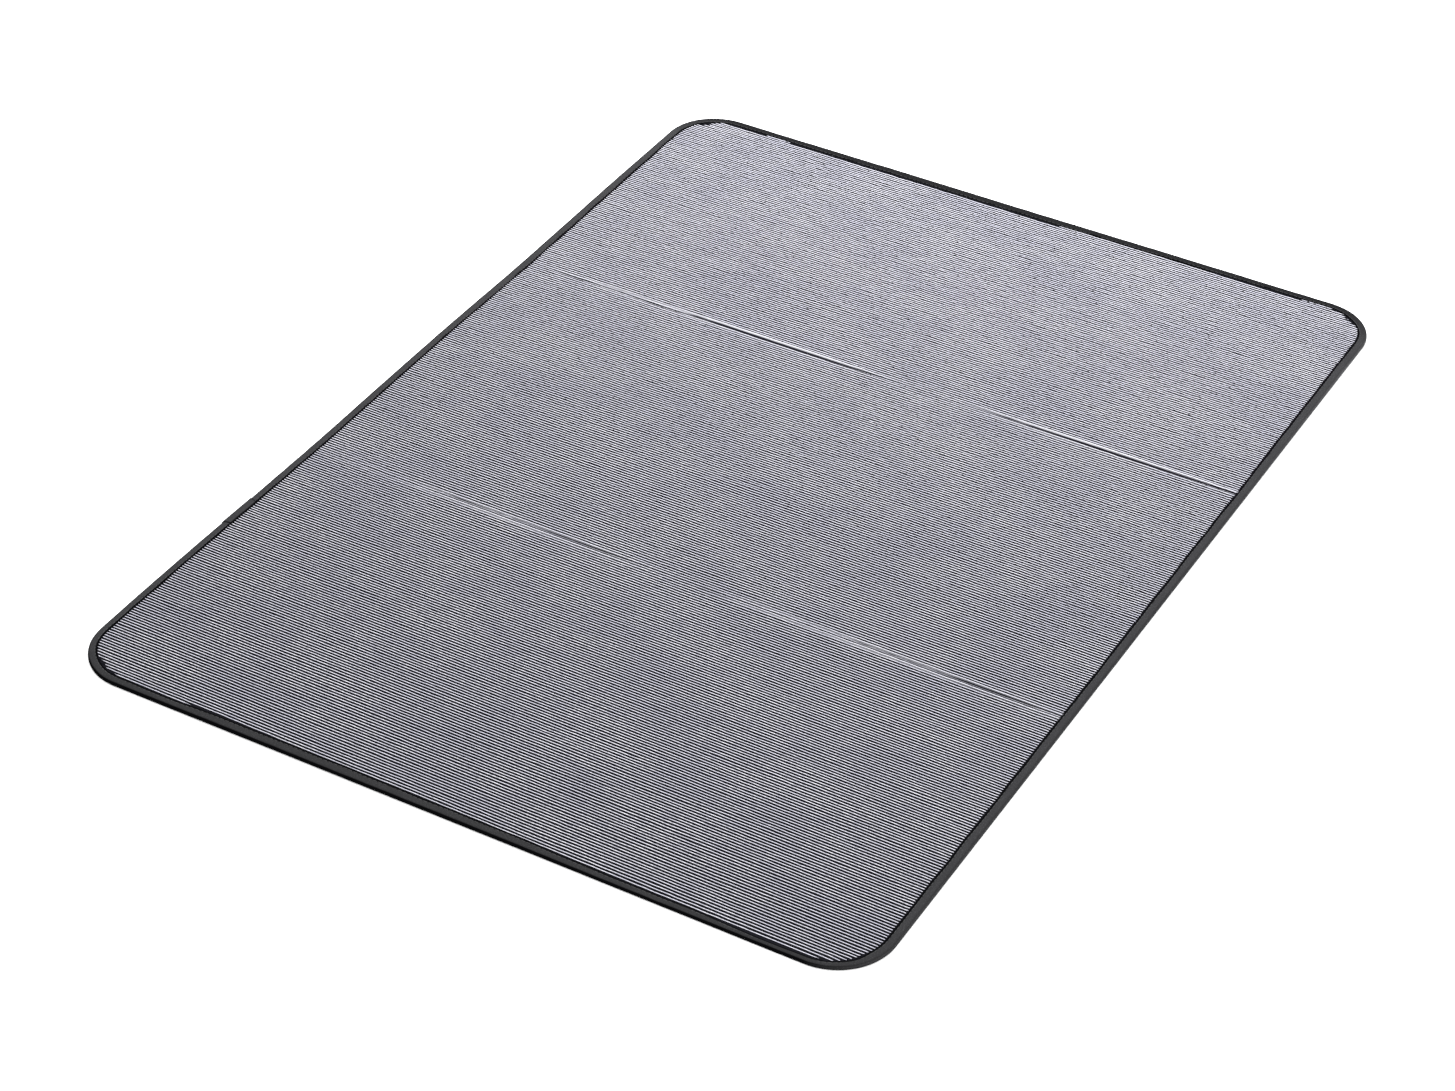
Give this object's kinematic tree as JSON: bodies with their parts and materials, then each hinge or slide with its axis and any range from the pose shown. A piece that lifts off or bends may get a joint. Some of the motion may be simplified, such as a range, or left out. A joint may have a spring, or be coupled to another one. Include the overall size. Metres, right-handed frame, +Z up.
{
  "type": "seedling heat mat",
  "caption": "Flat rectangular electric heat mat for seed trays, with a finely ribbed fabric cover and a bound edge, which folds in three at two cross creases.",
  "frame": {"origin": "middle of the mat's outline, on the face that it rests on", "axes": "+X across the mat's width, +Y along its length towards the rear, shorter outer panel, which has the inlet in its edge, +Z up, out of the ribbed cover"},
  "size_m": [0.5, 0.7, 0.0033],
  "materials": {
    "ribbed_cover": "fine raised ribs, light lavender grey over near black grooves",
    "edge_binding": "matt black woven tape",
    "seam_thread": "black polyester thread",
    "backing": "coated black woven sheet",
    "felt": "needled off-white felt",
    "foil": "bright foil",
    "heater_film": "translucent film",
    "carbon_ink": "matt printed carbon",
    "copper": "bare copper",
    "lead_insulation": "matt insulation",
    "solder": "dull solder",
    "cutoff_case": "plain aluminium",
    "shrink_sleeve": "matt shrink sleeve",
    "inlet_plastic": "fine grained moulding",
    "contact_brass": "plain brass"
  },
  "bodies": {
    "middle_panel": {"backing_middle": "backing", "binding_thread_middle": "seam_thread", "bus_strips_middle": "copper", "carbon_bars_middle": "carbon_ink", "crease_braids_middle_front": "copper", "crease_braids_middle_rear": "copper", "edge_binding_middle": "edge_binding", "felt_pad_middle": "felt", "foil_reflector_middle": "foil", "heater_film_base_middle": "heater_film", "heater_film_top_middle": "heater_film", "ribbed_cover_middle": "ribbed_cover"},
    "rear_panel": {"backing_rear": "backing", "binding_thread_rear": "seam_thread", "bus_strips_rear": "copper", "carbon_bars_rear": "carbon_ink", "crease_braids_rear": "copper", "cutoff_sleeve": "shrink_sleeve", "edge_binding_rear": "edge_binding", "felt_pad_rear": "felt", "foil_reflector_rear": "foil", "heater_film_base_rear": "heater_film", "heater_film_top_rear": "heater_film", "inlet_contact_left": "contact_brass", "inlet_contact_right": "contact_brass", "inlet_housing_base": "inlet_plastic", "inlet_housing_lid": "inlet_plastic", "lead_cutoff_to_bus": "lead_insulation", "lead_inlet_to_cutoff": "lead_insulation", "lead_return": "lead_insulation", "ribbed_cover_rear": "ribbed_cover", "solder_pads": "solder", "thermal_cutoff": "cutoff_case"},
    "front_panel": {"backing_front": "backing", "binding_lap": "edge_binding", "binding_thread_front": "seam_thread", "bus_strips_front": "copper", "carbon_bars_front": "carbon_ink", "crease_braids_front": "copper", "edge_binding_front": "edge_binding", "felt_pad_front": "felt", "foil_reflector_front": "foil", "heater_film_base_front": "heater_film", "heater_film_top_front": "heater_film", "ribbed_cover_front": "ribbed_cover"}
  },
  "joints": [
    {"name": "rear_fold", "type": "hinge", "parent": "middle_panel", "child": "rear_panel", "pos_m": [0, 0.13, 0.004], "axis": [1, 0, 0], "range_deg": [0, 179.9]},
    {"name": "front_fold", "type": "hinge", "parent": "middle_panel", "child": "front_panel", "pos_m": [0, -0.11, 0.0065], "axis": [-1, 0, 0], "range_deg": [0, 179.9]}
  ]
}
